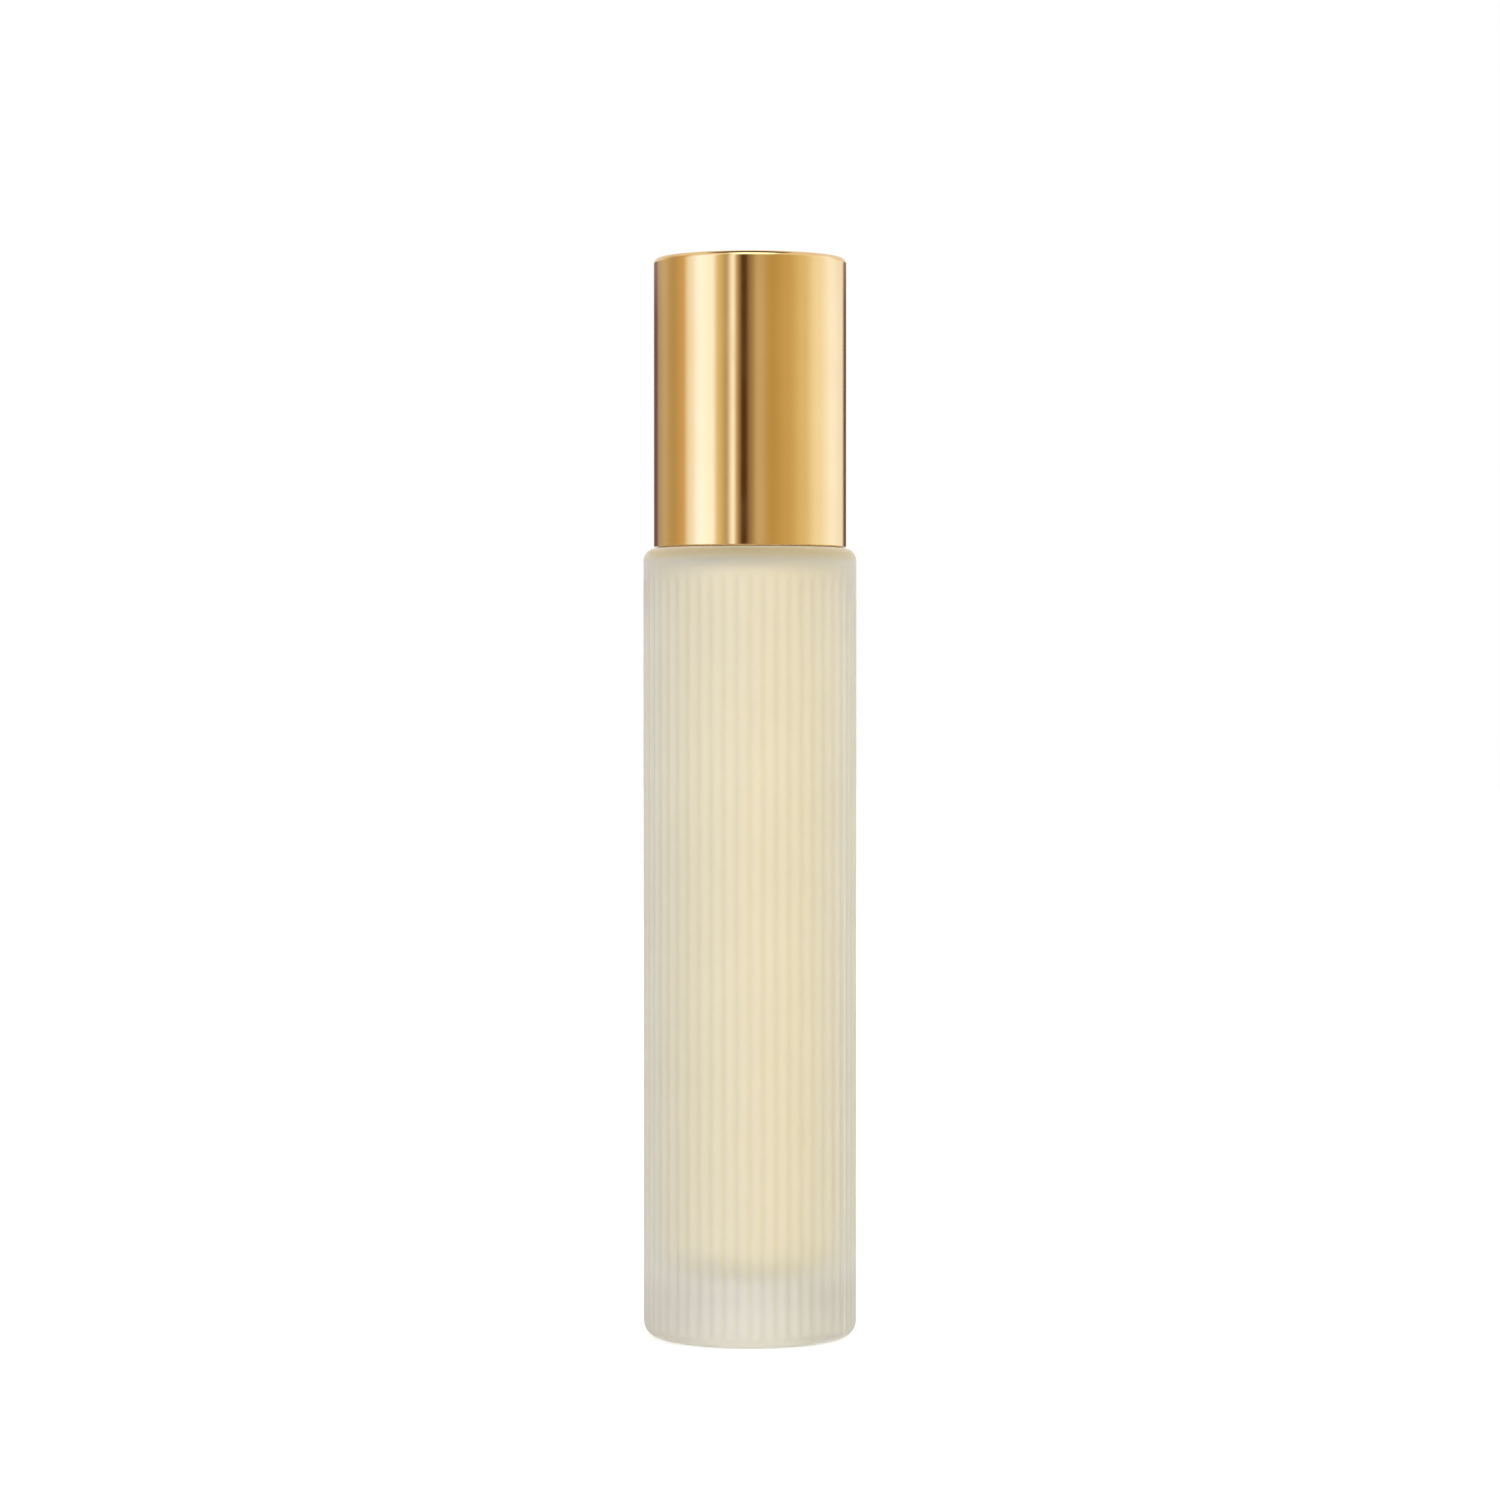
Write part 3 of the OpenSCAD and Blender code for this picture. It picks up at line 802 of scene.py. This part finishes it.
def make_head_core():
    """The moulding under the gold: skirt, socket for the stem, and the way from there to the nozzle."""
    gap = SKIN + FIT
    r, stem_top = HEAD_R - gap, high("stem")
    skirt, bore, top = r - 1.15, STEM_R + PRESS, HEAD_TOP - gap
    obj = turned("head_core", [
        (0, stem_top, 0), (bore, stem_top, 0.15), (bore, HEAD_FLOOR, 0.3), (skirt, HEAD_FLOOR, 0.5),
        (skirt, HEAD_LOW, 0.2), (r, HEAD_LOW, 0.15), (r, top, 0.3),
    ] + dish(gap, top), "head", "actuator_core", PUMP_PLASTIC, 128)
    slot_half_w, slot_half_l, channel_r = 0.4, 1.3, 0.8
    # The outlet ball can't close the slot, which is longer than the ball is wide
    slot = block((-slot_half_w, -slot_half_l, stem_top - 0.2), (slot_half_w, slot_half_l, NOZZLE_Z))
    channel = forward_rod(channel_r, -slot_half_l, NOZZLE_BACK + 0.01)
    seat = forward_rod(NOZZLE_R + PRESS, NOZZLE_BACK, HEAD_R + 1)
    carve(obj, slot, channel, seat)


def make_head_skin():
    """The gold skin of the head, dished on top, with a round hole for the nozzle."""
    inner, ceiling = HEAD_R - SKIN, HEAD_TOP - SKIN
    hole_r = NOZZLE_R + 0.1
    obj = turned("head_skin", dish(SKIN, ceiling)[::-1] + [
        (inner, ceiling, 0.3), (inner, HEAD_LOW, 0.12), (HEAD_R, HEAD_LOW, 0.18),
        (HEAD_R, HEAD_TOP, 0.6),
    ] + dish(0, HEAD_TOP), "head", "actuator_shell", GOLD, 256)
    carve(obj, forward_rod(hole_r, NOZZLE_BACK, HEAD_R + 1))


def make_nozzle():
    """A short spout with a flared mouth, turned about Z and then laid down to face the front."""
    bore, mouth, flare = 0.8, 1.3, 0.5
    obj = turned("spout", [
        (bore, NOZZLE_BACK, 0.1), (NOZZLE_R, NOZZLE_BACK, 0.15), (NOZZLE_R, NOZZLE_TIP, 0.6),
        (mouth, NOZZLE_TIP, 0.12), (bore, NOZZLE_TIP - flare, 0.3),
    ], "head", "nozzle", GOLD_PLASTIC, 96, closed=True)
    forward = Matrix.Translation((0, 0, NOZZLE_Z * MM)) @ Matrix.Rotation(math.radians(90), 4, "X")
    obj.data.transform(forward)


# ---------------------------------------------------------------- scene

STUDIO = [
    # azimuth round the object from the camera's side (0), and the light that comes from there
    (-180, (1.0, 1.0, 1.0)), (-172, (1.0, 1.0, 1.0)), (-166, (0.17, 0.11, 0.12)),
    (-150, (0.17, 0.11, 0.12)), (-140, (0.46, 0.41, 0.34)), (-124, (0.60, 0.53, 0.38)),
    (-104, (0.52, 0.41, 0.23)), (-88, (0.66, 0.50, 0.26)), (-76, (1.0, 1.1, 1.3)),
    (-62, (1.15, 1.5, 2.3)), (-46, (1.15, 1.4, 1.9)), (-38, (0.8, 0.72, 0.48)),
    (-28, (0.50, 0.45, 0.30)), (-20, (1.25, 1.4, 1.8)), (-15, (0.5, 0.4, 0.3)),
    (-9, (0.08, 0.035, 0.01)), (-5, (0.10, 0.045, 0.015)), (0, (0.34, 0.26, 0.15)),
    (10, (0.64, 0.57, 0.42)), (26, (0.54, 0.42, 0.18)), (46, (0.64, 0.52, 0.27)),
    (66, (0.80, 0.73, 0.48)), (88, (1.0, 1.05, 1.05)), (115, (1.1, 1.3, 1.7)),
    (142, (1.0, 1.1, 1.25)), (155, (0.17, 0.09, 0.075)), (168, (0.17, 0.09, 0.075)),
    (174, (1.0, 1.0, 1.0)), (180, (1.0, 1.0, 1.0)),
]
OVERHEAD = (0.88, 0.86, 0.82)      # light from above the walls
ZENITH = (0.08, 0.04, 0.02)        # dark ceiling, which draws a line round the cap's rim
STRIP = (2.5, 2.55, 2.6)           # strip light above the camera, which glints on the rim
BELOW = (0.45, 0.43, 0.39)         # light that the floor returns
FLOOR_SHARE = 0.6                  # the rest of what is seen in the floor is the walls

# Where each of them starts and where it is full, in the x, y or z of a direction of length 1.
# x is to the camera's right, y is away from the camera and z is up.
WALL_TOP_IN_FRONT = (0.35, 0.75)   # z
WALL_TOP_BEHIND = (0.075, 0.135)   # z
BEHIND = (0.3, 0.8)                # y
CEILING = (0.87, 0.93)             # z
STRIP_X = 0.05                     # middle of the strip light
STRIP_SIDE = (0.42, 0.30)          # distance from its middle in x
STRIP_FOOT = (0.48, 0.6)           # z
STRIP_BACK = (-0.3, -0.42)         # y
FLOOR = (-0.02, -0.3)              # z


def maths(tree, operation, a, b=0.0):
    """The value of a sum, where a and b are sockets or numbers."""
    node = tree.nodes.new("ShaderNodeMath")
    node.operation = operation
    for socket, value in zip(node.inputs, (a, b)):
        if isinstance(value, (int, float)):
            socket.default_value = value
        else:
            tree.links.new(value, socket)
    return node.outputs["Value"]


def walls(tree, x, y):
    """The light from the studio's walls, in upright bands round the object."""
    azimuth = maths(tree, "ARCTAN2", x, maths(tree, "MULTIPLY", y, -1))
    around = maths(tree, "ADD", maths(tree, "DIVIDE", azimuth, TURN), 0.5)
    ramp = tree.nodes.new("ShaderNodeValToRGB")
    ramp.color_ramp.interpolation = "EASE"
    stops = ramp.color_ramp.elements
    while len(stops) > 1:
        stops.remove(stops[0])
    for i, (degrees, colour) in enumerate(STUDIO):
        position = degrees / 360 + 0.5
        stop = stops[0] if i == 0 else stops.new(position)
        stop.position = position
        stop.color = (*colour, 1)
    tree.links.new(around, ramp.inputs["Fac"])
    return ramp.outputs["Color"]


def surroundings(tree):
    """The light from every direction. The walls are high in front of the object and low behind it."""
    place = tree.nodes.new("ShaderNodeTexCoord")
    split = tree.nodes.new("ShaderNodeSeparateXYZ")
    tree.links.new(place.outputs["Generated"], split.inputs["Vector"])
    x, y, z = (split.outputs[axis] for axis in "XYZ")
    over_back = maths(tree, "MULTIPLY", ease(tree, z, *WALL_TOP_BEHIND), ease(tree, y, *BEHIND))
    over_walls = maths(tree, "MAXIMUM", ease(tree, z, *WALL_TOP_IN_FRONT), over_back)
    colour = blended(tree, walls(tree, x, y), over_walls, OVERHEAD)
    colour = blended(tree, colour, ease(tree, z, *CEILING), ZENITH)
    aside = maths(tree, "ABSOLUTE", maths(tree, "SUBTRACT", x, STRIP_X))
    strip = maths(tree, "MULTIPLY", ease(tree, aside, *STRIP_SIDE), ease(tree, z, *STRIP_FOOT))
    strip = maths(tree, "MULTIPLY", strip, ease(tree, y, *STRIP_BACK))
    colour = blended(tree, colour, strip, STRIP)
    below = maths(tree, "MULTIPLY", ease(tree, z, *FLOOR), FLOOR_SHARE)
    return blended(tree, colour, below, BELOW)


def make_world():
    """The studio lights the object and is mirrored in it, but the camera sees plain white behind."""
    world = bpy.data.worlds.new("studio")
    bpy.context.scene.world = world
    world.use_nodes = True
    tree = world.node_tree
    tree.nodes.clear()
    light = tree.nodes.new("ShaderNodeBackground")
    tree.links.new(surroundings(tree), light.inputs["Color"])
    backdrop = tree.nodes.new("ShaderNodeBackground")
    backdrop.inputs["Color"].default_value = (1, 1, 1, 1)
    path = tree.nodes.new("ShaderNodeLightPath")
    choose = tree.nodes.new("ShaderNodeMixShader")
    output = tree.nodes.new("ShaderNodeOutputWorld")
    tree.links.new(path.outputs["Is Camera Ray"], choose.inputs["Fac"])
    tree.links.new(light.outputs["Background"], choose.inputs[1])
    tree.links.new(backdrop.outputs["Background"], choose.inputs[2])
    tree.links.new(choose.outputs["Shader"], output.inputs["Surface"])


def softbox(name, place, size, watts):
    """An area light that faces the bottle, and isn't mirrored in it. place and size are in metres."""
    data = bpy.data.lights.new(name, "AREA")
    data.shape = "RECTANGLE"
    data.size, data.size_y = size
    data.energy = watts
    lamp = bpy.data.objects.new(name, data)
    lamp.location = place
    target = Vector((0, 0, 0.08))
    lamp.rotation_euler = (target - Vector(place)).to_track_quat("-Z", "Y").to_euler()
    lamp.visible_glossy = False
    lamp.visible_camera = False
    bpy.context.scene.collection.objects.link(lamp)


def make_floor():
    """White paper under the bottle, which only the camera sees."""
    floor_r, drop = 3000, 0.05
    bm = bmesh.new()
    bmesh.ops.create_circle(bm, cap_ends=True, segments=64, radius=floor_r * MM)
    mesh = bpy.data.meshes.new("floor")
    bm.to_mesh(mesh)
    bm.free()
    floor = bpy.data.objects.new("floor", mesh)
    floor.location.z = -drop * MM
    material, tree, bsdf = shader(
        "floor_paper", Roughness=0.9, Specular_IOR_Level=0.0,
        Emission_Color=(1, 1, 1, 1), Emission_Strength=0.6)
    colour = between(tree, grain(tree, 400), (0.55, 0.55, 0.55), (0.57, 0.57, 0.57))
    tree.links.new(colour, bsdf.inputs["Base Color"])
    mesh.materials.append(material)
    bpy.context.scene.collection.objects.link(floor)
    floor.visible_diffuse = False
    floor.visible_glossy = False
    floor.visible_transmission = False


def make_studio():
    """Surroundings, soft lamps (watts last) and floor."""
    make_world()
    softbox("top_softbox", (0, -0.1, 1.1), (0.8, 0.8), 1)
    softbox("left_softbox", (-0.9, -0.8, 0.4), (0.6, 0.8), 4.2)
    softbox("right_softbox", (0.9, -0.8, 0.4), (0.6, 0.8), 5.0)
    softbox("front_softbox", (0.12, -1.2, 0.3), (0.6, 0.6), 3.1)
    softbox("back_softbox", (0, 1.0, 0.3), (0.8, 0.6), 1.7)
    make_floor()


def make_camera():
    """A long lens in front of the bottle, a little above its middle. Lengths are in metres here."""
    distance, height, target = 0.6375, 0.0937, 0.0826
    data = bpy.data.cameras.new("camera")
    data.lens = 108.6          # with the sensor, in mm
    data.sensor_width = 36
    camera = bpy.data.objects.new("camera", data)
    camera.location = (0, -distance, height)
    camera.rotation_euler = (Vector((0, 0, target)) - camera.location).to_track_quat("-Z", "Y").to_euler()
    bpy.context.scene.collection.objects.link(camera)
    bpy.context.scene.camera = camera


make_bottle()
make_fluid()
make_overcap()
make_collar()
make_gasket()
make_housing()
make_dip_tube()
make_ball("inlet_valve_ball", "inlet_ball", "inlet_valve")
make_cage()
make_spring()
make_piston()
make_stem()
make_wiper()
make_guide()
make_ball("outlet_valve_ball", "outlet_ball", "outlet_valve")
make_head_core()
make_head_skin()
make_nozzle()
make_studio()
make_camera()
bpy.context.scene.view_settings.view_transform = "Standard"
